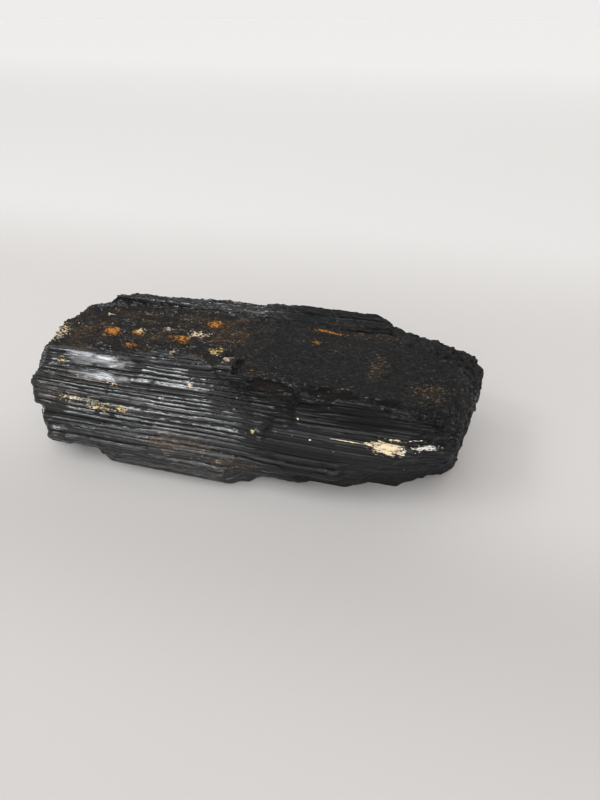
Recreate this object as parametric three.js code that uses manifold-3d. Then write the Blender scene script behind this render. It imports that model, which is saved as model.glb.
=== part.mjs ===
// A natural log of black tourmaline (schorl): one columnar crystal, grown as a bundle of
// parallel prisms and broken off at both ends.
//
// Frame: millimetres, +Z up, +X along the crystal's long axis. The crystal lies on its side, and
// the origin is under the middle of its bounding box, on the surface that it rests on.
//
// The body is two overlapping cores. The right core is a higher, steeper layer, and the left core
// is what shows where that layer has broken away. Ribs, which are slim prisms lying half sunk in
// the cores, make the grooved sides, and their staggered ends make the stepped breaks. Rough
// slabs break both ends, and everything below the resting plane is cut flat.

import * as THREE from 'three';
import { mergeVertices } from 'three/addons/utils/BufferGeometryUtils.js';
import Module from 'manifold-3d';

const wasm = await Module();
wasm.setup();

// ---- Driving dimensions, in millimetres ----------------------------------------------------------

// Lines that run along each core, every point being [x, across, up]. Taken together they are the
// corners of its cross-section, from the back of the base up, over the top and down the front.
const LEFT_LINES = {
  baseBack: [[-84, 12, 0], [-60, 24, 0], [4, 28, 0]],
  heel: [[-84, 20, 5], [-60, 32, 6], [4, 36, 6]],
  backBulge: [[-84, 27, 20], [-62, 40, 22], [4, 45, 22]],
  topBackEdge: [[-84, 26, 34], [-70, 37, 37], [-44, 38, 38.5], [-18, 40, 38.5], [4, 41, 38.5]],
  topBehind: [[-84, 17, 37.5], [-58, 26, 39], [4, 26, 39]],
  topAhead: [[-84, 8, 38], [-58, 9, 39], [4, 10, 39]],
  topFrontEdge: [[-84, -6, 34.5], [-58, -3, 37.5], [-30, -2, 38], [4, -2, 38]],
  upperSlope: [[-84, -10, 30], [4, -10, 30]],
  crest: [[-84, -17, 23], [4, -17, 23.5]],
  lowerSlope: [[-84, -20, 19.5], [4, -21.5, 18.5]],
  frontBulge: [[-84, -20, 16], [-60, -21.5, 13], [-46, -24.5, 11], [-14, -25.5, 10.5], [4, -22, 12]],
  toe: [[-84, -13, 5], [-72, -14.5, 4], [-58, -16, 4], [-44, -20.5, 4], [-8, -21, 4], [4, -15, 4]],
  baseFront: [[-84, -10, 0], [-72, -11.5, 0], [-58, -13, 0], [-44, -17, 0], [-8, -17.5, 0], [4, -11, 0]],
};
const RIGHT_LINES = {
  baseBack: [[-8, 28, 0], [20, 28, 0], [72, 12, 0]],
  heel: [[-8, 36, 5], [20, 38, 6], [72, 20, 6]],
  backBulge: [[-8, 45, 20], [20, 46, 20], [44, 40, 20], [72, 27, 20]],
  backShoulder: [[-8, 43, 32], [18, 46, 32], [36, 42, 32], [58, 31, 31], [72, 25, 30]],
  topBackEdge: [[-8, 38, 40], [18, 40, 39.5], [34, 38, 39], [46, 33, 39], [58, 27, 39], [72, 25, 38]],
  topBehind: [[-8, 20, 41], [72, 16, 41.5]],
  topAhead: [[-8, 0, 41], [72, 0, 41.5]],
  topFrontEdge: [[-8, -11, 39], [4, -14, 40], [18, -14, 40.5], [33, -18, 40.5], [54, -20, 40], [72, -16, 39]],
  steepBand: [[-8, -13, 30], [10, -19, 32], [40, -21, 34], [72, -18, 34]],
  crest: [[-8, -17.5, 22.5], [10, -20, 25], [40, -22, 26], [60, -19, 28], [72, -16, 29]],
  frontBulge: [[-8, -25, 12], [10, -21.5, 14], [36, -19.5, 16], [50, -17.5, 18], [60, -14, 20], [72, -9, 21]],
  toe: [[-8, -20, 5], [4, -16, 5], [20, -13.5, 5], [34, -11.3, 5], [50, -7.5, 6], [60, -2, 7], [72, 5, 8]],
  baseFront: [[-8, -15, 0], [4, -11, 0], [20, -8, 0], [34, -6.5, 0], [50, -2.5, 0], [60, 5, 0], [72, 12, 0]],
};
const LEFT_SPAN = [-84, 2];
const RIGHT_SPAN = [-6, 72];
const STATION_SPACING = 7; // between the cross-sections along a core
const CORE_UNEVEN = 0.5; // how far a core's corners wander

// The ribs that can be told apart on the front: [across, up, radius, from, to].
const MAIN_RIBS = [
  [-6.5, 33.5, 3.4, -77, -44], // the smooth upper facets of the left end
  [-10.5, 29.5, 2.6, -77, -43],
  [-13.5, 26, 3.8, -78.5, -12],
  [-16, 21.5, 3.2, -79, -30],
  [-17.8, 22, 2.6, -66, 50], // the long crest
  [-20.5, 17, 3.4, -70, -8],
  [-22.5, 13, 3.2, -69, -22],
  [-20, 9, 2.8, -72, -30],
  [-21.5, 15.5, 2.4, -50, 34],
  [-23.2, 9.5, 3, -48, -4],
  [-15, 4.5, 2.4, -76, -44], // the toe
  [-19, 4.2, 2.4, -50, -6],
  [-9, 31, 2, -42, -6],
  [-12.5, 28, 2.2, -41, 2],
  [-6.5, 34.5, 2.2, -40, -16],
  [-3.5, 37, 2.6, -26, 30], // the stepped start of the higher layer
  [-7.5, 36, 2.6, -17, 26],
  [-11, 35, 2.8, -8, 40],
];
const RIB_SIDES = 6;
const RIB_UNEVEN = 0.12; // the share of its radius by which a rib's corner is in or out
const RIB_SLANT = 0.6; // how far a rib's end leans, at most
const RIB_WORN = 0.35; // the share of its radius that a rib's end is rounded by
const RIB_SPACING = 4.6; // between neighbours round the section
const RIB_RADIUS = [1.8, 3.6];
const RIB_SUNK = 0.5; // the share of a rib's radius by which its axis lies in the core
const RIB_SHORTEST = 14;
const RIB_STAGGER = 10; // how much shorter than it could be a rib is, at most
const RIB_STARTS = [0.15, 0.5, 0.9]; // the shares of a core's length from which ribs are grown

const BREAK_SPACING = 9; // between the corners of a broken face
const BREAK_ROUGH = 1.2; // how far each of them is in or out, at most
const REACH = 400; // larger than the crystal

// ---- Helpers --------------------------------------------------------------------------------------

// A repeatable stream of numbers from 0 to 1.
function stream(seed) {
  let state = seed;
  return () => {
    state = (state * 1664525 + 1013904223) >>> 0;
    return state / 4294967296;
  };
}

// The same stream's numbers, from -size to size.
const either = (next, size) => size * (2 * next() - 1);

// A closed three.js geometry as a manifold-3d solid.
function solid(geometry) {
  const bare = geometry.clone();
  bare.deleteAttribute('normal');
  bare.deleteAttribute('uv');
  const merged = mergeVertices(bare, 1e-4);
  return new wasm.Manifold(new wasm.Mesh({
    numProp: 3,
    vertProperties: merged.attributes.position.array,
    triVerts: new Uint32Array(merged.index.array),
  }));
}

// Where a line along the crystal is at x, as [across, up].
function pointOn(line, x) {
  const beyond = line.findIndex(([at]) => at >= x);
  const end = beyond < 0 ? line.length - 1 : Math.max(1, beyond);
  const [x0, across0, up0] = line[end - 1];
  const [x1, across1, up1] = line[end];
  const share = THREE.MathUtils.clamp((x - x0) / (x1 - x0), 0, 1);
  return new THREE.Vector2(
    THREE.MathUtils.lerp(across0, across1, share),
    THREE.MathUtils.lerp(up0, up1, share),
  );
}

const sectionAt = (lines, x) => Object.values(lines).map((line) => pointOn(line, x));

// How deep a point lies inside a section: its distance from the nearest edge, negative outside.
function depthIn(section, point) {
  let depth = Infinity;
  section.forEach((corner, i) => {
    const edge = section[(i + 1) % section.length].clone().sub(corner);
    const arm = point.clone().sub(corner);
    const share = THREE.MathUtils.clamp(arm.dot(edge) / edge.lengthSq(), 0, 1);
    const away = arm.addScaledVector(edge, -share);
    const side = edge.x * away.y - edge.y * away.x < 0 ? -1 : 1;
    if (away.length() < Math.abs(depth)) depth = side * away.length();
  });
  return depth;
}

// A core: the cross-section that the lines give, run from one end of the span to the other.
function core(lines, [from, to], seed) {
  const next = stream(seed);
  const corners = Object.keys(lines).length;
  const steps = Math.round((to - from) / STATION_SPACING);
  const turnOf = (corner) => (corner / corners) * 2 * Math.PI;
  const outline = Object.keys(lines).map((name, i) => {
    return new THREE.Vector2(Math.cos(turnOf(i)), Math.sin(turnOf(i)));
  });
  const geometry = new THREE.ExtrudeGeometry(new THREE.Shape(outline), {
    depth: steps,
    steps,
    bevelEnabled: false,
  });
  const rings = [];
  for (let step = 0; step <= steps; step += 1) {
    const x = THREE.MathUtils.lerp(from, to, step / steps);
    rings.push(sectionAt(lines, x).map((corner) => {
      const loose = corner.y === 0 ? 0 : CORE_UNEVEN; // the base stays flat
      return [x, corner.x + either(next, loose), corner.y + either(next, loose)];
    }));
  }
  const place = geometry.attributes.position;
  for (let i = 0; i < place.count; i += 1) {
    const turn = Math.atan2(place.getY(i), place.getX(i));
    const corner = (Math.round(turn / turnOf(1)) + corners) % corners;
    place.setXYZ(i, ...rings[Math.round(place.getZ(i))][corner]);
  }
  return solid(geometry);
}

// A slim prism of uneven sides along X, with worn ends, each broken at a slant.
function rib(across, up, radius, from, to, next) {
  const turn = next() * Math.PI;
  const outline = [];
  for (let side = 0; side < RIB_SIDES; side += 1) {
    const angle = turn + ((side + either(next, 0.25)) / RIB_SIDES) * 2 * Math.PI;
    const r = radius * (1 + either(next, RIB_UNEVEN));
    outline.push(new THREE.Vector2(r * Math.cos(angle), r * Math.sin(angle)));
  }
  const worn = RIB_WORN * radius;
  const geometry = new THREE.ExtrudeGeometry(new THREE.Shape(outline), {
    depth: to - from - 2 * worn,
    steps: 1,
    bevelThickness: worn,
    bevelSize: worn,
    bevelOffset: -worn,
    bevelSegments: 1,
  });
  const slants = [from, to].map(() => new THREE.Vector2(either(next, RIB_SLANT), either(next, RIB_SLANT)));
  const place = geometry.attributes.position;
  for (let i = 0; i < place.count; i += 1) {
    const slant = slants[place.getZ(i) > worn ? 1 : 0];
    const lean = slant.x * place.getX(i) + slant.y * place.getY(i);
    place.setXYZ(i, from + worn + place.getZ(i) + lean, across + place.getX(i), up + place.getY(i));
  }
  return solid(geometry);
}

// Ribs all round a core, each of them as long as its axis stays inside the core.
function ribsRound(lines, [from, to], seed, leftOut) {
  const next = stream(seed);
  const ribs = [];
  for (const start of RIB_STARTS) {
    const middle = THREE.MathUtils.lerp(from, to, start);
    const section = sectionAt(lines, middle);
    section.forEach((corner, i) => {
      const edge = section[(i + 1) % section.length].clone().sub(corner);
      const inward = new THREE.Vector2(-edge.y, edge.x).normalize();
      const count = Math.max(1, Math.round(edge.length() / RIB_SPACING));
      for (let k = 0; k < count; k += 1) {
        const radius = THREE.MathUtils.lerp(...RIB_RADIUS, next());
        const share = (k + 0.5 + either(next, 0.25)) / count;
        const axis = corner.clone().addScaledVector(edge, share).addScaledVector(inward, RIB_SUNK * radius);
        const inside = (x) => depthIn(sectionAt(lines, x), axis) > -0.1 * radius;
        let left = middle;
        while (left > from - 4 && inside(left - 1)) left -= 1;
        let right = middle;
        while (right < to + 4 && inside(right + 1)) right += 1;
        left += RIB_STAGGER * next() ** 2;
        right -= RIB_STAGGER * next() ** 2;
        if (right - left > RIB_SHORTEST && !leftOut(axis.x, axis.y)) {
          ribs.push(rib(axis.x, axis.y, radius, left, right, next));
        }
      }
    });
  }
  return ribs;
}

// A block with a rough surface, turned about its middle, to break a piece off the crystal.
function slab(size, middle, turn, seed) {
  const next = stream(seed);
  const segments = size.map((side) => Math.round(side / BREAK_SPACING));
  const box = new THREE.BoxGeometry(...size, ...segments);
  box.deleteAttribute('normal');
  box.deleteAttribute('uv');
  const geometry = mergeVertices(box, 1e-4);
  const place = geometry.attributes.position;
  for (let i = 0; i < place.count; i += 1) {
    const corner = [place.getX(i), place.getY(i), place.getZ(i)];
    place.setXYZ(i, ...corner.map((value) => value + either(next, BREAK_ROUGH)));
  }
  const angles = new THREE.Euler(...turn.map(THREE.MathUtils.degToRad));
  geometry.applyMatrix4(new THREE.Matrix4().makeRotationFromEuler(angles));
  geometry.translate(...middle);
  return solid(geometry);
}

// ---- The crystal ----------------------------------------------------------------------------------

function mainRibs() {
  const next = stream(11);
  return MAIN_RIBS.map((row) => rib(...row, next));
}

// The worn top has no ribs, and the left front has the main ribs instead.
function otherRibs() {
  const onTop = (across, up) => up > 33 && across > -4 && across < 30;
  const onLeftFront = (across, up) => across < -4 && up > 9 && up < 36;
  return [
    ...ribsRound(LEFT_LINES, LEFT_SPAN, 5, (across, up) => onTop(across, up) || onLeftFront(across, up)),
    ...ribsRound(RIGHT_LINES, RIGHT_SPAN, 8, onTop),
  ];
}

function breaks() {
  return [
    slab([40, 140, 100], [-99, 0, 30], [0, 4, 3], 3), // left end
    slab([60, 60, 100], [-97, -37, 20], [0, 0, -42], 4), // near left corner
    slab([60, 60, 100], [-101, 60, 20], [0, 0, 40], 5), // far left corner
    slab([40, 140, 100], [88, 0, 20], [0, 8, -11], 6), // right end
    slab([40, 140, 30], [79, 0, 47], [0, 40, -6], 7), // worn upper edge of the right end
  ];
}

function crystal() {
  const cores = [core(LEFT_LINES, LEFT_SPAN, 1), core(RIGHT_LINES, RIGHT_SPAN, 2)];
  const bundle = [...cores, ...otherRibs()].reduce((whole, piece) => whole.add(piece));
  const broken = breaks().reduce((whole, piece) => whole.subtract(piece), bundle);
  const grown = mainRibs().reduce((whole, piece) => whole.add(piece), broken);
  const ground = new THREE.BoxGeometry(REACH, REACH, REACH);
  ground.translate(0, 0, -REACH / 2);
  return grown.subtract(solid(ground));
}

function geometryOf(made) {
  const mesh = made.getMesh();
  const geometry = new THREE.BufferGeometry();
  geometry.setAttribute('position', new THREE.BufferAttribute(mesh.vertProperties, 3));
  geometry.setIndex(new THREE.BufferAttribute(mesh.triVerts, 1));
  return geometry;
}

const geometry = geometryOf(crystal());
const box = new THREE.Box3().setFromBufferAttribute(geometry.attributes.position);
const middle = box.getCenter(new THREE.Vector3());
geometry.translate(-middle.x, -middle.y, -box.min.z);
geometry.computeVertexNormals();

const schorl = new THREE.MeshStandardMaterial({ color: 0x1d1e21, roughness: 0.42, metalness: 0 });
const mesh = new THREE.Mesh(geometry, schorl);
mesh.name = 'tourmaline_crystal';

const group = new THREE.Group();
group.add(mesh);

export default group;
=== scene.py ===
# %% [markdown]
# # A log of black tourmaline
#
# Black tourmaline, or schorl, grows as bundles of long prisms. This one lies on its side, snapped
# off at both ends. It has three kinds of surface, and the lesson makes them in turn: grooved
# sides that are glassy, a worn top that is dull and granular, and blocky broken ends. Rust, mica
# and a smear of cream feldspar lie on top of the black.
#
# The frame below is the finished solid, with its true size and its larger ribs. The script keeps
# that size and carves the fine relief into a copy of it.

import math

import bpy
import numpy as np
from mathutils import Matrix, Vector


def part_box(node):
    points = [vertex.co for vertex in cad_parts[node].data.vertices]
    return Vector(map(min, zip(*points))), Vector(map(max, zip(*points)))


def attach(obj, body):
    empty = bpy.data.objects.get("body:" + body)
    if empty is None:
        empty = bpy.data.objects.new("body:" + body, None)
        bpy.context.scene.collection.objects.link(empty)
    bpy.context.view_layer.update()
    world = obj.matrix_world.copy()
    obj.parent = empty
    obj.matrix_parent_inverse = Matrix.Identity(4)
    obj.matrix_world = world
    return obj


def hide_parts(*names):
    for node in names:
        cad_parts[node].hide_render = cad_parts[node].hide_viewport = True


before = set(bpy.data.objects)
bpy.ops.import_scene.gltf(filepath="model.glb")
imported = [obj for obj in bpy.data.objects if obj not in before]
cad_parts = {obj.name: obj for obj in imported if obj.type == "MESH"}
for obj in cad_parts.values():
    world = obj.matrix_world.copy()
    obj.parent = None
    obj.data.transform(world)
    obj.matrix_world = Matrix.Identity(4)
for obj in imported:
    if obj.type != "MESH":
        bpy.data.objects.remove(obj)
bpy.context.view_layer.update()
LOW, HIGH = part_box("tourmaline_crystal")
SIZE = HIGH - LOW
MM = 0.001
print("the crystal measures", [round(side / MM, 1) for side in SIZE], "mm")

# %% [markdown]
# ## The camera
#
# The camera comes first, because it decides how fine the relief has to be. It stands in front of
# the crystal, a little to the right of its middle, about two hand widths above the table, and
# looks down by 33 degrees with a lens of 27 mm.

# %% Camera
CAMERA_AT = Vector((65.8, -171.85, 135.0)) * MM
CAMERA_DOWN = 33.0
CAMERA_LEFT = 16.0
lens = bpy.data.cameras.new("camera")
lens.lens = 27.0
lens.sensor_fit = "VERTICAL"
lens.sensor_height = 36.0
lens.clip_start = 0.01
camera = bpy.data.objects.new("camera", lens)
camera.location = CAMERA_AT
camera.rotation_euler = [math.radians(90 - CAMERA_DOWN), 0, math.radians(CAMERA_LEFT)]
bpy.context.scene.collection.objects.link(camera)
bpy.context.scene.camera = camera
print("the camera is", round(CAMERA_AT.length / MM), "mm from the crystal's base")

# %% [markdown]
# ## A shorthand for node trees
#
# Relief and finish are both written as sums on sockets, so that one recipe serves both: the
# relief carves a groove and the finish puts dust in it. A Wire is a socket that understands
# Python's operators, and a Tree adds any other node.

# %% Wires and trees


class Wire:
    """A socket's value, on which + - * and / add Math nodes."""

    def __init__(self, tree, socket):
        self.tree = tree
        self.socket = socket

    def math(self, operation, *values):
        return self.tree.add("ShaderNodeMath", {"operation": operation}, *values)

    def __add__(self, other):
        return self.math("ADD", self, other)

    def __sub__(self, other):
        return self.math("SUBTRACT", self, other)

    def __rsub__(self, other):
        return self.math("SUBTRACT", other, self)

    def __mul__(self, other):
        return self.math("MULTIPLY", self, other)

    def __truediv__(self, other):
        return self.math("DIVIDE", self, other)

    def __neg__(self):
        return self.math("MULTIPLY", self, -1.0)

    def highest(self, other):
        return self.math("MAXIMUM", self, other)

    __radd__ = __add__
    __rmul__ = __mul__


class Tree:
    """A node tree, with one method that adds a node of any type."""

    def __init__(self, nodes):
        self.nodes = nodes.nodes
        self.links = nodes.links

    def add(self, kind, settings=None, *values, out=0, **named):
        node = self.nodes.new(kind)
        for name, value in (settings or {}).items():
            if name == "stops":
                self.set_stops(node.color_ramp, value)
            else:
                setattr(node, name, value)
        for key, value in [*enumerate(values), *named.items()]:
            if isinstance(key, str):
                key = key.replace("_", " ")
            if isinstance(value, Wire):
                self.links.new(value.socket, node.inputs[key])
            elif value is not None:
                node.inputs[key].default_value = value
        return Wire(self, node.outputs[out])

    def set_stops(self, ramp, stops):
        while len(ramp.elements) < len(stops):
            ramp.elements.new(1.0)
        for element, (position, value) in zip(ramp.elements, stops):
            element.position = position
            element.color = (value, value, value, 1.0)


# %% [markdown]
# ## Patterns
#
# Each pattern takes a place, in millimetres, and gives a number. Nearly all of them are stretched
# along the crystal, because its prisms all run that way. A pattern on the place itself needs no
# picture and no seam, and it looks the same from every side.

# %% Places and masks


def parts_of(place):
    """The three coordinates of a place."""
    return [place.tree.add("ShaderNodeSeparateXYZ", {}, place, out=axis) for axis in range(3)]


def joined(tree, x, y, z):
    return tree.add("ShaderNodeCombineXYZ", {}, x, y, z)


def vector(operation, place, *values, out=0):
    settings = {"operation": operation}
    return place.tree.add("ShaderNodeVectorMath", settings, place, *values, out=out)


def scaled(place, scales):
    return vector("MULTIPLY", place, scales)


def ramp(value, low, high, soft=True):
    """0 below low, 1 above high, and a smooth step between."""
    settings = {"interpolation_type": "SMOOTHSTEP" if soft else "LINEAR"}
    return value.tree.add("ShaderNodeMapRange", settings, value, low, high, 0.0, 1.0)


def profile(value, points):
    """A curve through points (value, height), straight between them."""
    xs, heights = zip(*points)
    low, high = min(xs), max(xs)
    base, top = min(heights), max(heights)
    stops = [((x - low) / (high - low), (h - base) / (top - base)) for x, h in points]
    share = ramp(value, low, high, soft=False)
    level = value.tree.add("ShaderNodeValToRGB", {"stops": stops}, share)
    return level * (top - base) + base


# %% Noise, cells and patches


def in_lumps(place, grain, along=None, shift=0.0):
    """A place counted in lumps, grain across and along long, in mm, and moved by shift."""
    lump = (1 / (along or grain), 1 / grain, 1 / grain)
    return vector("ADD", scaled(place, lump), (shift,) * 3)


def noise(place, grain, along=None, detail=3.0, shift=0.0, rough=0.5):
    """Soft noise from 0 to 1."""
    inputs = {"Vector": in_lumps(place, grain, along, shift), "Scale": 1.0}
    settings = {"noise_dimensions": "3D"}
    return place.tree.add(
        "ShaderNodeTexNoise", settings, **inputs, Detail=detail, Roughness=rough
    )


def cells(place, grain, shift, out):
    """Round cells about grain wide: each point's distance, colour or centre."""
    inputs = {"Vector": in_lumps(place, grain, shift=shift), "Scale": 1.0}
    settings = {"voronoi_dimensions": "3D", "feature": "F1"}
    return place.tree.add("ShaderNodeTexVoronoi", settings, **inputs, out=out)


def patch(place, centre, size):
    """1 in the middle of an ellipsoid, falling to 0 at its edge."""
    arm = vector("DIVIDE", vector("SUBTRACT", place, centre), size)
    return 1 - vector("LENGTH", arm, out="Value")


def patches(place, spots, ragged, low, high):
    """All spots as one mask, with a ragged edge from a noise."""
    reach = None
    for centre, size in spots:
        one = patch(place, centre, size)
        reach = one if reach is None else reach.highest(one)
    return ramp(reach + (ragged - 0.5) * 1.6, low, high)


# %% [markdown]
# ## Lanes
#
# A side of the crystal is a row of prisms, side by side like planks, each a little higher or
# lower than the next and tilted its own way. They could be modelled one by one, but there are
# hundreds. So a lane is a cell of one-dimensional Voronoi, which gives every point its distance
# across the prism and the prism its own random colour. White noise on that colour and on the
# length breaks each prism into pieces end to end.

# %% Lanes


def lanes(x, round_at, width, length, shift, even=0.75):
    """Prisms width wide and about length long: their height, slope, place across and edge."""
    tree = x.tree
    across = round_at / width + shift
    settings = {"voronoi_dimensions": "1D", "feature": "F1"}
    to_edge = {"voronoi_dimensions": "1D", "feature": "DISTANCE_TO_EDGE"}
    inputs = {"W": across, "Scale": 1.0, "Randomness": even}
    centre = tree.add("ShaderNodeTexVoronoi", settings, **inputs, out="W")
    colour = tree.add("ShaderNodeTexVoronoi", settings, **inputs, out="Color")
    edge = tree.add("ShaderNodeTexVoronoi", to_edge, **inputs)
    first, second, _ = parts_of(colour)
    along = x / length + first * 17.0
    piece = along.math("FLOOR", along)
    place = joined(tree, piece, second * 91.0, None)
    settings = {"noise_dimensions": "2D"}
    draw = tree.add("ShaderNodeTexWhiteNoise", settings, Vector=place, out="Color")
    height, slope, _ = parts_of(draw)
    return height - 0.5, slope, across - centre, edge


# %% [markdown]
# ## The regions
#
# The kinds of surface meet along ragged lines, so each region is a mask whose edge is moved to
# and fro by a noise. The worn top lies between a front edge and a back edge. Scoops are bitten
# out of its front edge, and near the left end two broad, smooth facets catch the light. All of
# these are single things that have their own places, so they are listed one by one, in millimetres.

# %% Edges, scoops and facets
# The front edge of the worn top, as (x, y): behind it the crystal is dull, and before it glassy.
WORN_EDGE = [
    (-77, -16),
    (-67, -15),
    (-40, -14),
    (-27, -11),
    (-17, -13),
    (-9, -17),
    (1, -21),
    (5, -25),
    (37, -29),
    (77, -32),
]

# The back edge of the worn top, beyond which thin prisms stand as ledges.
BACK_EDGE = [
    (-77, 12),
    (-62, 18),
    (-45, 20),
    (-10, 19),
    (8, 15),
    (34, 16),
    (48, 10),
    (77, 0),
]

# Shallow scoops that chips left along the front edge of the worn top, as (centre, half size);
# the finish darkens them with painted shade.
HOLLOWS = [
    ((13.5, -24.8, 39), (8.5, 3.0, 2.2)),
    ((34, -26.4, 41), (11.0, 2.8, 2.5)),
    ((50.5, -26.6, 41.4), (5.2, 3.0, 2.2)),
    ((-6, -10, 38), (3.0, 2.6, 3)),
    ((1.5, -19.0, 40), (1.8, 6.0, 4)),
]

# The two broad, smooth facets near the left end, as (centre, half size).
FACETS = [
    ((-51, -18, 35.3), (15, 4.0, 3.2)),
    ((-49, -22, 31), (13, 2.2, 1.4)),
]
print(len(HOLLOWS), "scoops and", len(FACETS), "facets")

# %% Regions
HEART = 18.0  # the height of the line that the prisms lie round, in mm
GIRTH = 24.0  # mm round the crystal for each radian
LEDGE_TILT = 0.6  # on the ledges, how much the height counts beside the depth


class Places:
    """The regions of the crystal, each 1 inside and 0 outside."""

    def __init__(self, place):
        x, y, z = parts_of(place)
        self.x, self.z = x, z
        wander = noise(place, 2.2, 6.0, detail=4.0, shift=4.0) * 5.0 - 2.5
        behind = ramp(y - profile(x, WORN_EDGE) + wander, -0.5, 0.5)
        beyond = ramp(y - profile(x, BACK_EDGE) + wander * 0.8, -0.5, 0.5)
        self.worn = behind * (1 - beyond) * ramp(z + wander * 0.5, 30.0, 33.0)
        self.ledges = beyond * ramp(z + wander * 0.5, 27.0, 33.0)

        stray = noise(place, 9.0, 12.0, detail=3.0, shift=14.0) * 30.0 - 15.0
        self.left = 1 - ramp(x + stray, -9.0, 6.0)
        self.end = ramp(x.math("ABSOLUTE", x) + wander, 61.0, 68.0)
        self.right_end = ramp(x + wander * 1.5, 54.0, 64.0)

        self.facets = patches(place, FACETS, wander * 0.16 + 0.5, 0.05, 0.40)
        self.calm = 1 - self.facets * 0.9
        bites = noise(place, 1.6, 4.0, detail=3.0, shift=71.0)
        self.hollow = patches(place, HOLLOWS, bites, 0.10, 0.26)

        round_at = z.math("ARCTAN2", -y, z - HEART) * GIRTH
        on_ledges = z * LEDGE_TILT - y
        self.round_at = round_at * (1 - self.ledges) + on_ledges * self.ledges
        self.frayed = x + noise(place, 1.2, 3.0, detail=3.0, shift=9.5) * 3.0


# %% [markdown]
# ## The crystal's body
#
# The body starts as a copy of the frame's solid. Its triangles are long and thin, which is no
# good for carving, so it is remeshed into small even squares.
#
# The real crystal is a bundle, whose prisms touch with no deep clefts between them. Narrow clefts
# in the solid are closed by clipping: the skin is pushed out, remeshed so that the walls of a
# cleft melt together, and pulled back by as much.

# %% Tools for a piece
CLOSING = 1.7 * MM
COARSE = 0.8 * MM


def only(piece):
    """Makes a piece the only one selected, and the active one."""
    bpy.ops.object.select_all(action="DESELECT")
    piece.select_set(True)
    bpy.context.view_layer.objects.active = piece


def modified(piece, kind, **settings):
    """Adds a modifier and applies it."""
    modifier = piece.modifiers.new(kind.lower(), kind)
    for name, value in settings.items():
        setattr(modifier, name, value)
    only(piece)
    bpy.ops.object.modifier_apply(modifier=modifier.name)


def stretch(piece, factor):
    """Scales a piece along the crystal."""
    only(piece)
    piece.scale = (factor, 1.0, 1.0)
    bpy.ops.object.transform_apply(location=False, rotation=False, scale=True)


def read(items, name, width=1, kind=np.int32):
    """One property of all items, as an array."""
    values = np.empty(len(items) * width, kind)
    items.foreach_get(name, values)
    return values.reshape(-1, width) if width > 1 else values


def points_of(piece):
    return read(piece.data.vertices, "co", 3, np.float32)


# %% Copy and close its gaps
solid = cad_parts["tourmaline_crystal"]
crystal = bpy.data.objects.new("schorl_log", solid.data.copy())
bpy.context.scene.collection.objects.link(crystal)
crystal.data.materials.clear()
only(crystal)
bpy.ops.object.mode_set(mode="EDIT")
bpy.ops.mesh.select_all(action="SELECT")
bpy.ops.mesh.remove_doubles(threshold=1e-6)
bpy.ops.object.mode_set(mode="OBJECT")
print("the copy has", len(crystal.data.polygons), "faces")

modified(crystal, "REMESH", mode="VOXEL", voxel_size=COARSE)
modified(crystal, "DISPLACE", strength=CLOSING, mid_level=0.0)
modified(crystal, "REMESH", mode="VOXEL", voxel_size=COARSE)
modified(crystal, "DISPLACE", strength=-CLOSING, mid_level=0.0)
modified(crystal, "SMOOTH", factor=0.5, iterations=3)
print("closed, it has", len(crystal.data.polygons), "faces")

# %% [markdown]
# ## Evened out
#
# In two places the solid still has steps that the crystal hasn't: where its left half meets its
# right half, and just left of that below the worn edge. Sculpting them away by hand would be the
# usual way. Here a Smooth modifier works on a vertex group whose weight fades to nothing at its
# border, which does the same and is easy to move.

# %% Smooth between two cuts


def smooth_between(piece, left, right, bottom, top, fade, times):
    """Evens out a piece between two cuts across it and between two heights, in mm."""
    x, _, z = points_of(piece).T / MM
    share = np.minimum.reduce([x - left, right - x, z - bottom, top - z]) / fade
    share = np.clip(share, 0, 1)
    group = piece.vertex_groups.new(name="even")
    for index in np.flatnonzero(share):
        group.add([int(index)], float(share[index]), "REPLACE")
    modified(piece, "SMOOTH", factor=0.5, iterations=times, vertex_group="even")
    piece.vertex_groups.remove(piece.vertex_groups["even"])
    print("evened out", np.count_nonzero(share), "points")


smooth_between(crystal, -30, 12, 11, 39, 5, times=200)
smooth_between(crystal, -45, -31, 28, 41, 3, times=50)

# %% [markdown]
# ## Strips
#
# Detail is needed across the prisms and hardly at all along them. A voxel remesh makes cubes, so
# the copy is squeezed along its length first and stretched back afterwards, which makes the
# squares into strips and saves more than half of them.

# %% Remesh into strips
STRIP = 0.25 * MM
SQUEEZE = 0.42

stretch(crystal, SQUEEZE)
modified(crystal, "REMESH", mode="VOXEL", voxel_size=STRIP)
stretch(crystal, 1 / SQUEEZE)
print("remeshed into", len(crystal.data.polygons), "strips")

# %% [markdown]
# ## The relief
#
# A Geometry Nodes modifier moves every point along its normal by a height that the patterns
# give, in millimetres. It could be a bump in the finish alone, but then the outline would stay
# smooth and the grooves would cast no shade. The modifier also writes down what it did, as
# attributes, so that the finish can follow: "worn" is the dull top, and "groove" is how deep a
# point lies between two prisms.

# %% Heights of the sides


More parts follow.
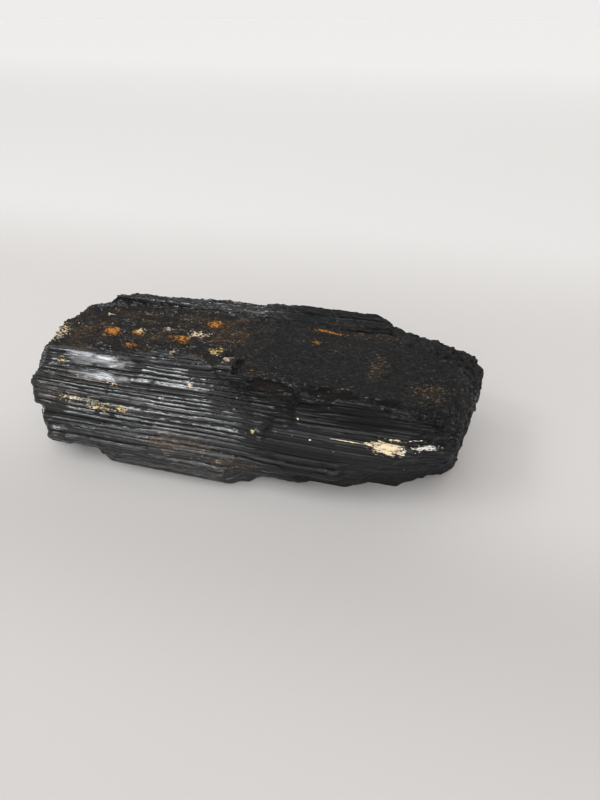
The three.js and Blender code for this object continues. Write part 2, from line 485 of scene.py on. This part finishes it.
def side_relief(place, at):
    """Wide ribs, narrow strips and hair-thin lines: all together, two parts and the grooves."""
    waver = noise(place, 30.0, 90.0, detail=1.0, shift=2.5) * 5.0 - 2.5
    round_at = at.round_at + waver

    step, slope, local, _ = lanes(at.frayed, round_at, 4.4, 60.0, 3.0)
    ribs = step * (0.6 + at.ledges * 0.5) + (slope - 0.4) * local * 1.5
    right_front = ramp(at.x, 2.0, 16.0) * ramp(at.z, 24.0, 30.0) * (1 - at.ledges)
    ribs = ribs * (1 - right_front * 0.6)

    step, slope, local, edge = lanes(at.frayed, round_at, 1.3, 42.0, 11.0)
    groove = 1 - ramp(edge, 0.0, 0.20)
    strips = step * (0.32 + at.ledges * 0.7) + (slope - 0.1) * local * 0.75
    strips = (strips - groove * 0.28) * at.calm

    thin = noise(place, 0.7, 22.0, detail=3.0, shift=5.0) - 0.5
    chips = noise(place, 0.6, 1.9, detail=3.0, shift=17.0, rough=0.7) - 0.5
    sides = ribs * (at.calm * 0.6 + 0.4) + strips + thin * 0.14 + chips * 0.35 * at.calm
    return sides, ribs, strips, groove


# %% Heights of broken rock


def crumbs(place, grain, shift):
    """Broken rock: blocks about grain wide, each stepped and tilted its own way."""
    centre = cells(place, grain, shift, "Position")
    colour = cells(place, grain, shift, "Color")
    arm = vector("SUBTRACT", in_lumps(place, grain, shift=shift), centre)
    lean = vector("SUBTRACT", colour, (0.5, 0.5, 0.5))
    tilt = vector("DOT_PRODUCT", arm, lean, out="Value")
    step, _, _ = parts_of(colour)
    return (step - 0.5) * 0.35 + tilt * 1.3


# %% All heights together


def relief(place, normal):
    """The height at a place, in mm, and the masks that the finish reuses."""
    at = Places(place)
    facing, _, _ = parts_of(normal)
    broken = ramp(facing.math("ABSOLUTE", facing), 0.5, 0.8) * at.end
    whole = 1 - broken
    sides, ribs, strips, groove = side_relief(place, at)

    lumps = noise(place, 12.0, 20.0, detail=2.0, shift=1.0) - 0.5
    bark = noise(place, 1.6, 6.5, detail=5.0, shift=2.0, rough=0.66) - 0.5
    grit = noise(place, 0.9, 1.3, detail=3.0, shift=8.0, rough=0.65) - 0.5
    dents = noise(place, 3.0, 4.5, detail=3.0, shift=19.0) - 0.5
    rough_top = lumps * 2.2 + bark * 4.0 + ribs * 0.7 + strips * 0.5 + grit * 0.6
    fine_top = lumps * 1.5 + grit * 1.6 + dents * 1.4 + bark * 0.9 + ribs * 0.2
    dull = rough_top * at.left + fine_top * (1 - at.left)

    blocks = crumbs(place, 2.4, 7.0)
    snapped = crumbs(place, 6.5, 6.0) * 1.5 + blocks * 0.6 + grit * 0.7

    height = sides * (1 - at.worn) * whole + dull * at.worn * whole + snapped * broken
    height = height + (blocks * 0.7 + grit * 0.9 + dents * 0.8) * at.right_end * whole
    height = height * (1 - at.hollow * 0.55) - at.hollow * 0.9
    height = height + (bark * 1.6 + grit * 0.5 + blocks * 0.5) * at.ledges
    height = height + dents * (1 - ramp(at.z, 10.0, 20.0)) * whole * 1.6
    resting = ramp(at.z, 0.1, 2.5)
    masks = {
        "worn": at.worn,
        "broken": broken,
        "groove": groove * (1 - at.worn) * whole * at.calm,
        "pit": 1 - ramp(height, -0.9, 0.1),
        "ledge": at.ledges,
    }
    return (height - 0.15) * resting, masks


# %% [markdown]
# ## Carved
#
# The height fades to nothing at the underside, so that the crystal still rests on its flat
# patch, and every point is held inside the frame's box, so that the relief can't make the
# crystal bigger than it is.

# %% Carve it


def store(tree, shape, name, value, kind="FLOAT"):
    """Writes a value down on every point, as an attribute."""
    settings = {"data_type": kind, "domain": "POINT"}
    inputs = {"Geometry": shape, "Name": name, "Value": value}
    return tree.add("GeometryNodeStoreNamedAttribute", settings, **inputs)


def carve(piece, recipe):
    """Moves a piece's points along their normals by a recipe's height."""
    modifier = piece.modifiers.new("relief", "NODES")
    group = bpy.data.node_groups.new("relief", "GeometryNodeTree")
    modifier.node_group = group
    for way in ("INPUT", "OUTPUT"):
        group.interface.new_socket("Geometry", in_out=way, socket_type="NodeSocketGeometry")
    tree = Tree(group)
    shape = tree.add("NodeGroupInput")
    at = tree.add("GeometryNodeInputPosition")
    normal = tree.add("GeometryNodeInputNormal")
    place = scaled(at, (1 / MM,) * 3)
    height, masks = recipe(place, normal)
    settings = {"operation": "SCALE"}
    offset = tree.add("ShaderNodeVectorMath", settings, normal, Scale=height * MM)
    moved = vector("ADD", at, offset)
    held = vector("MINIMUM", vector("MAXIMUM", moved, tuple(LOW)), tuple(HIGH))
    for name, value in masks.items():
        shape = store(tree, shape, name, value)
    shape = store(tree, shape, "before", place, "FLOAT_VECTOR")
    shape = tree.add("GeometryNodeSetPosition", {}, Geometry=shape, Position=held)
    output = tree.nodes.new("NodeGroupOutput")
    tree.links.new(shape.socket, output.inputs[0])
    only(piece)
    bpy.ops.object.modifier_apply(modifier=modifier.name)


carve(crystal, relief)
print("carved", len(crystal.data.vertices), "points")
print("with", [attribute.name for attribute in crystal.data.attributes])

# %% [markdown]
# ## Thinned out
#
# Flat spots don't need as many triangles as grooves. A Decimate modifier takes them away first
# where they matter least. It may put a point a hair outside the box, so the points are clipped
# to it. Edges sharper than 50 degrees stay crisp, and the rest is shaded smooth.

# %% Thin out
MOST_FACES = 196_000
SHARP = 50

triangles = 2 * len(crystal.data.polygons)
if triangles > MOST_FACES:
    modified(crystal, "DECIMATE", ratio=MOST_FACES / triangles)
points = np.clip(points_of(crystal), LOW, HIGH)
crystal.data.vertices.foreach_set("co", points.astype(np.float32).ravel())
only(crystal)
bpy.ops.object.shade_smooth_by_angle(angle=math.radians(SHARP))
print("thinned to", len(crystal.data.polygons), "faces")

# %% [markdown]
# ## Unrolled
#
# The finish will be baked, so the crystal is unrolled like a sheet of paper round a log: the length
# goes one way and the way round goes the other, with the cut underneath. Both ends are pressed
# flat beside it. The places from before the carving are used, because carved walls would fold.

# %% Measure the way round
SHEET = 206.0  # the side of the sheet of paper, in mm
WEDGES = 72  # the log is measured in this many wedges
CORE = 19.0  # the height of the line that the paper is wound round, in mm


def unrolled(round_by, y, z):
    """How far round the crystal each angle is, in mm, along its average outline."""
    turns = np.linspace(-math.pi, math.pi, WEDGES + 1)
    bins = np.clip(np.digitize(round_by, turns) - 1, 0, WEDGES - 1)
    counts = np.bincount(bins, minlength=WEDGES)
    outline = np.stack([np.bincount(bins, way, WEDGES) / counts for way in (y, z)], axis=1)
    outline = np.vstack([outline, outline[:1]])
    steps = np.linalg.norm(np.diff(outline, axis=0), axis=1)
    return turns, np.concatenate([[0.0], np.cumsum(steps)])


def facing_along(before, corners, starts):
    """How far each face looks along the crystal, from -1 to 1, before the carving."""
    edge_one = before[corners[starts + 1]] - before[corners[starts]]
    edge_two = before[corners[starts + 2]] - before[corners[starts]]
    facing = np.cross(edge_one, edge_two)
    return facing[:, 0] / np.maximum(np.linalg.norm(facing, axis=1), 1e-9)


# %% Unroll it
END_FROM = 62  # a face beyond this, in mm, may belong to an end
END_FACING = 0.65  # and it does if it looks this much along the crystal
SIDES_AT = (80, 1)  # where the sides lie on the sheet, in mm
ENDS_AT = 161  # where both ends lie along the sheet
LEFT_UP, RIGHT_UP = 38, 116  # and how far up it each of them lies


def unwrap(piece):
    mesh = piece.data
    before = read(mesh.attributes["before"].data, "vector", 3, np.float32)
    corners = read(mesh.loops, "vertex_index")
    starts = read(mesh.polygons, "loop_start")
    totals = read(mesh.polygons, "loop_total")

    x, y, z = before[corners].T.astype(float)
    round_by = np.arctan2(-y, z - CORE)
    facing = facing_along(before, corners, starts)
    middle = np.add.reduceat(x, starts) / totals
    at_end = (np.abs(facing) > END_FACING) & (np.abs(middle) > END_FROM)
    end = np.repeat(np.where(at_end, np.sign(middle), 0), totals)

    least = np.repeat(np.minimum.reduceat(round_by, starts), totals)
    most = np.repeat(np.maximum.reduceat(round_by, starts), totals)
    turns, lengths = unrolled(round_by, y, z)
    across = np.interp(round_by, turns, lengths)
    across += np.where((most - least > math.pi) & (round_by < 0), lengths[-1], 0)

    u = np.where(end == 0, x + SIDES_AT[0], z + ENDS_AT)
    ends_v = np.where(end < 0, y + LEFT_UP, y + RIGHT_UP)
    v = np.where(end == 0, across + SIDES_AT[1], ends_v)
    layer = mesh.uv_layers.new(name="OFBake")
    places = np.stack([u, v], axis=1) / SHEET
    layer.data.foreach_set("uv", places.astype(np.float32).ravel())
    mesh.attributes.remove(mesh.attributes["before"])
    print("unrolled, it is", round(lengths[-1]), "mm round")
    print("and it reaches", round(u.max()), "by", round(v.max()), "mm")


unwrap(crystal)

# %% [markdown]
# ## Where the stains are
#
# Rust runs out of the worn top, mica flakes sit in its hollows, and a smear of cream feldspar
# crosses the right front. Noise alone would scatter them anywhere. So each stain is a small
# ellipsoid at its own place, given by its centre and half size, in millimetres, and a fine noise
# tears its edge into grains. The bands below the front edge of the worn top, where the coat is
# cut and the colour carries painted shade, are laid out in the same way.

# %% Stains
OCHRE = [
    ((-53, -3, 38), (4.4, 3.6, 4)),
    ((-43, -2, 38), (3.0, 2.6, 4)),
    ((-18, 10, 39), (5.0, 3.6, 4)),
    ((-26, -3, 38), (5.2, 2.4, 4)),
    ((-41, -11, 38), (3.2, 1.8, 3)),
    ((24, 12, 41), (8.0, 1.3, 3)),
    ((21, 3, 41), (1.9, 1.6, 3)),
    ((7, -21, 41), (1.0, 0.6, 3)),
]
BROWN = [
    ((-58, -27, 24), (20.0, 2.4, 2.4)),
    ((-71, -26, 15), (6.0, 5.0, 5.0)),
    ((-52, -23.5, 30.5), (18.0, 2.6, 2.2)),
    ((-36, -3, 38), (4.5, 6.0, 4)),
    ((-25, 13, 39), (11.0, 3.6, 4)),
    ((-64, -6, 38), (5.0, 6.0, 4)),
    ((-9, 4, 39), (9.0, 8.0, 4)),
    ((44, -8, 41), (3.0, 8.0, 4)),
    ((62, -20, 41), (5.5, 5.0, 4)),
    ((-16, -33, 17), (16.0, 6.0, 3)),
    ((4, -34, 13), (9.0, 6.0, 3)),
    ((40, 14, 41), (12.0, 3.0, 4)),
    ((12, -21.5, 41), (9.0, 1.0, 2)),
]
# Bands below the front edge of the worn top, with less coat and painted shade, as (centre, half
# size).
MATT_SHADE = [
    ((8, -24, 37), (10, 4, 5)),
    ((22, -27, 36), (18, 5, 6.0)),
    ((44, -30, 37), (17, 6, 5.5)),
    ((62, -28, 36), (9, 5, 6)),
]
print(len(OCHRE), "ochre,", len(BROWN), "brown and", len(MATT_SHADE), "matt patches")

# %% Flakes and feldspar
MICA = [
    ((-21, 1, 39), (5.0, 3.0, 4)),
    ((-43, -1, 38), (2.6, 2.6, 3)),
    ((-33, 2, 38), (2.6, 1.6, 3)),
    ((-3, -15, 41), (3.2, 3.6, 5)),
    ((-11, -7, 38), (3.2, 3.2, 4)),
    ((-25, -11, 38), (2.0, 2.4, 3)),
    ((-71, -7, 36), (3.4, 7.0, 5)),
    ((-60, 8, 38), (3.0, 1.2, 3)),
    ((10, -31, 26), (1.4, 1.2, 2)),
    ((-46, -29.5, 24), (7.0, 2.2, 2.4)),
    ((-57, -28, 24), (6.0, 1.2, 1.6)),
    ((-37, -29, 24), (4.5, 1.6, 2)),
    ((-64, -20, 34), (3.0, 1.2, 2)),
    ((-71, -26, 14), (3.0, 3.0, 2)),
    ((-42, -24, 30), (4.0, 1.0, 1.0)),
    ((-15, -21, 32), (1.5, 1.4, 1.6)),
]
CREAM = [
    ((52, -32, 29), (7.4, 5, 3.0)),
    ((62.5, -30, 29.5), (5.4, 5, 1.1)),
    ((41, -32, 29), (9.0, 5, 0.20)),
    ((54, -31, 32), (3.6, 5, 0.55)),
    ((60, -30, 32), (2.6, 5, 0.5)),
    ((25, -31.5, 33.5), (0.5, 2, 0.32)),
    ((29, -33, 27.5), (0.5, 2, 0.34)),
]
FLESH = [
    ((-3.2, -14.5, 41), (2.0, 2.8, 5)),
    ((-25, -11, 38), (1.0, 1.4, 3)),
    ((-33, 2, 38), (1.6, 0.9, 3)),
]
print(len(MICA), "mica,", len(CREAM), "cream and", len(FLESH), "flesh-coloured patches")

# %% [markdown]
# ## The finish
#
# Schorl is a black glass. On a fresh side it mirrors the window in thin bright lines, and where
# it is worn or broken it scatters light and looks dull. One Principled shader does both: the
# black lies under a coat, the coat is thick where the crystal is glassy and thin where it is
# dull, and the small ridges of the side lie in a Bump node. Stains cover the coat as well as the
# black, or they would shine like glass.

# %% What the finish knows


def mixed(tree, share, first, second):
    """A colour between two: each is a Wire or three numbers."""
    node = tree.nodes.new("ShaderNodeMix")
    node.data_type = "RGBA"
    for index, value in ((0, share), (6, first), (7, second)):
        socket = node.inputs[index]
        if isinstance(value, Wire):
            tree.links.new(value.socket, socket)
        elif isinstance(value, tuple):
            socket.default_value = (*value, 1.0)
        else:
            socket.default_value = value
    return Wire(tree, node.outputs[2])


def grains(place, grain, along, shift):
    """Hard-edged grains, from 0 to 1."""
    speckle = noise(place, grain, along, detail=4.0, shift=shift, rough=0.75)
    return ramp(speckle, 0.32, 0.68, soft=False)


class Surface:
    """The relief's masks and the noises that several parts of the finish share."""

    def __init__(self, tree):
        at = tree.add("ShaderNodeTexCoord", out="Object")
        self.place = place = scaled(at, (1 / MM,) * 3)
        for name in ("worn", "broken", "groove", "pit", "ledge"):
            mask = tree.add("ShaderNodeAttribute", {"attribute_name": name}, out="Fac")
            setattr(self, name, mask)
        self.where = Places(place)
        self.x, self.z = self.where.x, self.where.z
        self.dull = self.worn.highest(self.broken)
        self.streak = noise(place, 0.5, 26.0, detail=3.0, shift=3.0)
        self.grit = noise(place, 0.45, 0.7, detail=3.0, shift=11.0)
        self.cloud = noise(place, 7.0, 25.0, detail=3.0, shift=7.0)
        self.flecks = grains(place, 0.8, 1.2, 21.0)
        self.flakes = grains(place, 0.5, 2.2, 27.0)
        self.near_left = 1 - ramp(self.x, -14.0, 12.0)


# %% Masks of the finish


def gloss_masks(at):
    """Adds bands of less coat and painted shade, where the side is glassy, and how its sheen
    varies.
    """
    ragged = ramp(at.streak, 0.32, 0.68, soft=False)
    # Bands below the worn edge: less coat here, and painted shade in the base colour.
    at.matt = patches(at.place, MATT_SHADE, ragged, 0.05, 0.55)
    far_right = ramp(at.x + at.z * 0.3, 6.0, 24.0)
    bright = (1 - far_right * 0.72) * (1 - at.ledge * 0.35) * (1 - at.matt * 0.95)
    at.glassy = (1 - at.dull) * bright
    at.sheen = ramp(noise(at.place, 0.45, 2.0, detail=3.0, shift=37.0, rough=0.65), 0.36, 0.60)

    mottle = ramp(noise(at.place, 1.6, 9.0, detail=5.0, shift=61.0, rough=0.6), 0.44, 0.58)
    lower = 1 - ramp(at.z, 31.5, 33.0)
    at.mirror = at.where.facets * (1 - at.dull) * mottle.highest(lower) * ramp(at.x, -68.0, -50.0)


def stain_masks(at):
    """Adds where each stain lies."""
    place, flecks, flakes = at.place, at.flecks, at.flakes
    cloudy = noise(place, 4.0, 8.0, detail=4.0, shift=31.0) + (flecks - 0.5) * 0.16
    spread = ramp(cloudy, 0.50, 0.66) * at.worn * at.near_left * 0.8
    at.brown = spread.highest(patches(place, BROWN, flecks, 0.15, 0.7) * 0.8)
    at.halo = patches(place, OCHRE, flecks, 0.0, 0.5)
    at.ochre = patches(place, OCHRE, flecks, 0.45, 0.75)
    at.mica = patches(place, MICA, flecks, 0.50, 0.70)
    at.cream = patches(place, CREAM, flakes * 0.6 + flecks * 0.4, 0.38, 0.50)
    at.flesh = patches(place, FLESH, flecks, 0.12, 0.26)


# %% Colours
GLASS_BLACK = (0.0084, 0.0086, 0.0094)
DULL_BLACK = (0.0136, 0.0128, 0.0128)
# Painted shade, for the scoops and the bands below the worn edge.
SHADE_BLACK = (0.0032, 0.0033, 0.0036)
DUST = (0.042, 0.031, 0.021)
DIRT = (0.066, 0.043, 0.025)
GOLD, TOP_GOLD = (0.26, 0.17, 0.09), (0.27, 0.165, 0.07)
RUST_HALO, RUST = (0.10, 0.045, 0.016), (0.46, 0.185, 0.03)
MICA_GOLD, MICA_PALE = (0.58, 0.42, 0.13), (0.70, 0.60, 0.45)
FELDSPAR, FELDSPAR_WHITE = (0.72, 0.59, 0.39), (0.80, 0.77, 0.70)
FLESH_PINK = (0.50, 0.38, 0.30)
SPARK_RUST, SPARK_PALE = (0.45, 0.25, 0.07), (0.5, 0.45, 0.34)
# A painted sheen for the two facets, not a colour of the stone.
FACET_SHEEN_GREY = (0.12, 0.12, 0.125)


def bare_colour(tree, at):
    """The black itself, with painted shade in the scoops and below the worn edge, and dust in its
    low places.
    """
    colour = mixed(tree, at.dull, GLASS_BLACK, DULL_BLACK)
    # Painted shade: the scoops and the bands below the worn edge are darkened towards near black.
    deep = (at.matt * 0.75).highest(at.where.hollow * 0.92)
    colour = mixed(tree, deep, colour, SHADE_BLACK)
    dust = ramp(at.cloud, 0.42, 0.7) * (at.pit * 0.8 + at.groove * 0.4 + 0.1)
    dust = dust * (at.near_left * 0.7 + 0.3) * (at.dull * 0.7 + 0.3)
    return mixed(tree, dust, colour, DUST)


def stained(tree, at, colour):
    """Dirt first, then rust, mica, feldspar and single sparks, each over the last."""
    left, flakes = at.near_left, at.flakes
    dirt = at.brown * (flakes * 0.7 + 0.3) * (left * 0.4 + 0.5)
    colour = mixed(tree, dirt, colour, DIRT)
    gold = ramp(at.flecks * flakes + (1 - left) * 0.07, 0.48, 0.56) * at.brown
    colour = mixed(tree, gold, colour, mixed(tree, left * at.worn, GOLD, TOP_GOLD))
    colour = mixed(tree, at.halo * 0.6, colour, RUST_HALO)
    colour = mixed(tree, at.ochre, colour, RUST)
    paler = ramp(at.cloud + flakes * 0.3, 0.5, 0.8)
    colour = mixed(tree, at.mica, colour, mixed(tree, paler, MICA_GOLD, MICA_PALE))
    whiter = ramp(at.x, 54.0, 60.0)
    colour = mixed(tree, at.cream, colour, mixed(tree, whiter, FELDSPAR, FELDSPAR_WHITE))
    colour = mixed(tree, at.flesh, colour, FLESH_PINK)

    distance = cells(at.place, 1.3, 41.0, "Distance")
    chance, kind, _ = parts_of(cells(at.place, 1.3, 41.0, "Color"))
    spark = ramp(chance, 0.95, 0.955) * (1 - ramp(distance, 0.14, 0.24))
    spark = spark * (at.worn * left * 0.6 + 0.3)
    return mixed(tree, spark, colour, mixed(tree, kind, SPARK_RUST, SPARK_PALE))


# %% [markdown]
# ## Gloss
#
# A coat is a thin clear layer that mirrors on its own, over whatever lies under it. Its weight is
# worked out from the masks: the grooves and the creases between prisms stay dark, and the two
# facets mirror the window in patches. Schorl isn't a metal, but some metallic weight there makes
# the mirror strong enough, and a grey base colour there is a painted sheen.
#
# The coat is also weaker towards the right and stronger in the middle of the front. That is set
# to suit one light that comes from the left. A real side may be as glassy at both ends,
# so for another light these two weights are the first thing to take out.

# %% Threads and coat


def threads_of(at):
    """The finest prisms, too thin to carve: their height, and the creases between them."""
    step, slope, local, edge = lanes(at.where.frayed, at.where.round_at, 0.72, 24.0, 23.0)
    calm = at.where.calm
    crease = (1 - ramp(edge, 0.0, 0.22)) * calm * (1 - at.dull)
    return (step * 0.25 + (slope - 0.3) * local * 0.5 - crease * 0.12) * calm, crease


def roughness_of(at):
    glass = 0.20 + ramp(at.cloud, 0.35, 0.62) * 0.18 + at.streak * 0.14 + at.groove * 0.3
    rough = glass * at.glassy + (0.55 + at.grit * 0.3) * (1 - at.glassy)
    return rough.highest(at.cream * 0.8)


def fine_relief(tree, at, threads):
    lines = noise(at.place, 0.35, 30.0, detail=2.0, shift=13.0)
    smooth = (threads + lines * 0.12 + at.sheen * 0.06) * (1 - at.dull)
    grainy = (at.grit * (1.0 - at.near_left * 0.3) + threads * 0.3) * at.dull
    return tree.add("ShaderNodeBump", {}, Strength=0.9, Distance=MM, Height=smooth + grainy)


def coat_of(at, crease):
    """How much of the clear coat there is, from 0 to 1."""
    shine = at.glassy * (1 - at.groove * 0.85) * (1 - crease * 0.85)
    shine = shine * (0.7 + ramp(at.cloud, 0.3, 0.6) * 0.3) * (0.68 + at.sheen * 0.32)
    middle = ramp(at.x, -42.0, -30.0) * (1 - ramp(at.x, -10.0, 4.0))
    shine = shine * (ramp(at.z, 18.0, 28.0) * (middle * 0.35 + 0.25) + 0.85)
    shine = shine.highest(at.mirror * 0.85 + at.where.facets * (1 - at.dull) * 0.15)
    sparkle = noise(at.place, 0.6, 1.4, detail=3.0, shift=51.0, rough=0.65)
    glints = ramp(sparkle, 0.48, 0.64) * at.dull
    coat = (shine + glints * (0.38 + at.broken * 0.25)) * (1 - at.cream)
    covered = at.ochre.highest(at.mica).highest(at.flesh)
    return coat * (1 - covered * 0.85) * (1 - at.brown * 0.4) * (1 - at.where.hollow * 0.9)


# %% Schorl
SAME_ALL_OVER = {
    "Coat Roughness": 0.15,
    "Coat IOR": 1.63,
    "IOR": 1.63,
    "Specular IOR Level": 0.09,
}


def schorl_finish():
    material = bpy.data.materials.new("schorl")
    material.use_nodes = True
    material.node_tree.nodes.clear()
    tree = Tree(material.node_tree)
    at = Surface(tree)
    gloss_masks(at)
    stain_masks(at)
    threads, crease = threads_of(at)
    colour = stained(tree, at, bare_colour(tree, at))
    varies = {
        # Painted sheen: the facets' base colour turns grey, which with the metallic weight makes
        # them brighter than black glass.
        "Base Color": mixed(tree, at.mirror, colour, FACET_SHEEN_GREY),
        "Metallic": at.mirror * 0.7,
        "Roughness": roughness_of(at),
        "Coat Weight": coat_of(at, crease),
        "Normal": fine_relief(tree, at, threads),
    }
    shader = tree.add("ShaderNodeBsdfPrincipled", {}, **varies, **SAME_ALL_OVER)
    output = tree.nodes.new("ShaderNodeOutputMaterial")
    tree.links.new(shader.socket, output.inputs["Surface"])
    print("the finish has", len(tree.nodes), "nodes")
    return material


crystal.data.materials.append(schorl_finish())
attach(crystal, "root")
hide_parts("tourmaline_crystal")

# %% [markdown]
# ## The studio
#
# Black glass shows little of itself and much of the room, so the room matters as much as the
# finish. A pale paper floor runs far back, with no wall to stand in the way of another view. A
# window high up on the left gives the bright lines on the facets and the prisms. A sun with a
# very wide disc stands for the even light of the room, which leaves only soft shadows.
#
# The floor isn't one even colour. Bands across it are painted shade and light: a painted shadow,
# darkest just in front of the crystal, and painted light, palest far behind, where another way
# would be more lamps and a wall.

# %% Floor
# The band in front of the crystal is a painted shadow, and the paler bands behind it are painted
# light.
PAPER_NEAR, PAPER_PAINTED_SHADOW, PAPER_UNDER = (0.60, 0.58, 0.565), (0.54, 0.52, 0.505), (0.63, 0.61, 0.595)
PAPER_BACK_PAINTED_LIGHT, PAPER_FAR_PAINTED_LIGHT = (0.76, 0.745, 0.73), (0.90, 0.89, 0.88)


def paper_finish():
    """Pale and dull, in bands by distance: painted shadow in front of the crystal, painted light
    behind.
    """
    material = bpy.data.materials.new("table")
    material.use_nodes = True
    tree = Tree(material.node_tree)
    shader = material.node_tree.nodes["Principled BSDF"]
    at = tree.add("ShaderNodeTexCoord", out="Object")
    _, y, _ = parts_of(at)
    # Painted shadow just in front of the crystal, then painted light further back.
    colour = mixed(tree, ramp(y, -0.12, -0.06), PAPER_NEAR, PAPER_PAINTED_SHADOW)
    colour = mixed(tree, ramp(y, -0.06, -0.01), colour, PAPER_UNDER)
    colour = mixed(tree, ramp(y, 0.10, 0.28), colour, PAPER_BACK_PAINTED_LIGHT)
    colour = mixed(tree, ramp(y, 0.40, 2.0), colour, PAPER_FAR_PAINTED_LIGHT)
    tree.links.new(colour.socket, shader.inputs["Base Color"])
    shader.inputs["Roughness"].default_value = 0.6
    shader.inputs["Specular IOR Level"].default_value = 0.25
    return material


bpy.ops.object.select_all(action="DESELECT")
bpy.ops.mesh.primitive_plane_add(size=24.0)
floor = bpy.context.object
floor.name = "floor"
floor.data.materials.append(paper_finish())
print("the floor is", floor.dimensions[0], "m wide")

# %% Lights
DAYLIGHT = (0.93, 0.97, 1.0)
PANE_RADIANCE = 13.0


def hung(name, light, towards, at=(0, 0, 0)):
    """Puts a light into the scene, facing the crystal from the way that towards points."""
    lamp = bpy.data.objects.new(name, light)
    lamp.location = at
    lamp.rotation_euler = (-Vector(towards)).to_track_quat("-Z", "Y").to_euler()
    bpy.context.scene.collection.objects.link(lamp)


def pane(name, at, width, height):
    """A flat light that faces the crystal, equally bright all over."""
    light = bpy.data.lights.new(name, "AREA")
    light.shape = "RECTANGLE"
    light.size = width
    light.size_y = height
    light.energy = PANE_RADIANCE * math.pi * width * height
    light.color = DAYLIGHT
    hung(name, light, at, at)


def sky(towards, angle, strength):
    """A very wide sun, as soft and even as an overcast window in the roof."""
    light = bpy.data.lights.new("sky", "SUN")
    light.angle = math.radians(angle)
    light.energy = strength
    hung("sky", light, towards)


pane("window", (-0.64, -0.66, 0.88), 0.48, 0.12)
pane("upper pane", (-0.62, -0.40, 1.04), 0.40, 0.08)
sky((0.05, -1.0, 0.75), 80, 2.6)
print("there are", len(bpy.data.lights), "lights")

# %% Room


def room():
    """A pale room, brighter behind the crystal than behind the camera, that meets the floor."""
    world = bpy.data.worlds.new("room")
    world.use_nodes = True
    tree = Tree(world.node_tree)
    ground = world.node_tree.nodes["Background"]
    way = tree.add("ShaderNodeTexCoord", out="Generated")
    _, y, z = parts_of(way)
    low = 1 - ramp(z.math("ABSOLUTE", z), 0.0, 0.25)
    above = ramp(y, -0.3, 0.9) * 0.25 + 0.41
    level = ramp(y, -0.05, 0.15) * 0.12 + 0.74
    bright = above * (1 - low) + level * low
    ground.inputs["Color"].default_value = (1.0, 0.985, 0.975, 1)
    tree.links.new(bright.socket, ground.inputs["Strength"])
    return world


bpy.context.scene.world = room()
bpy.context.scene.view_settings.view_transform = "Standard"
print("the world is", bpy.context.scene.world.name)
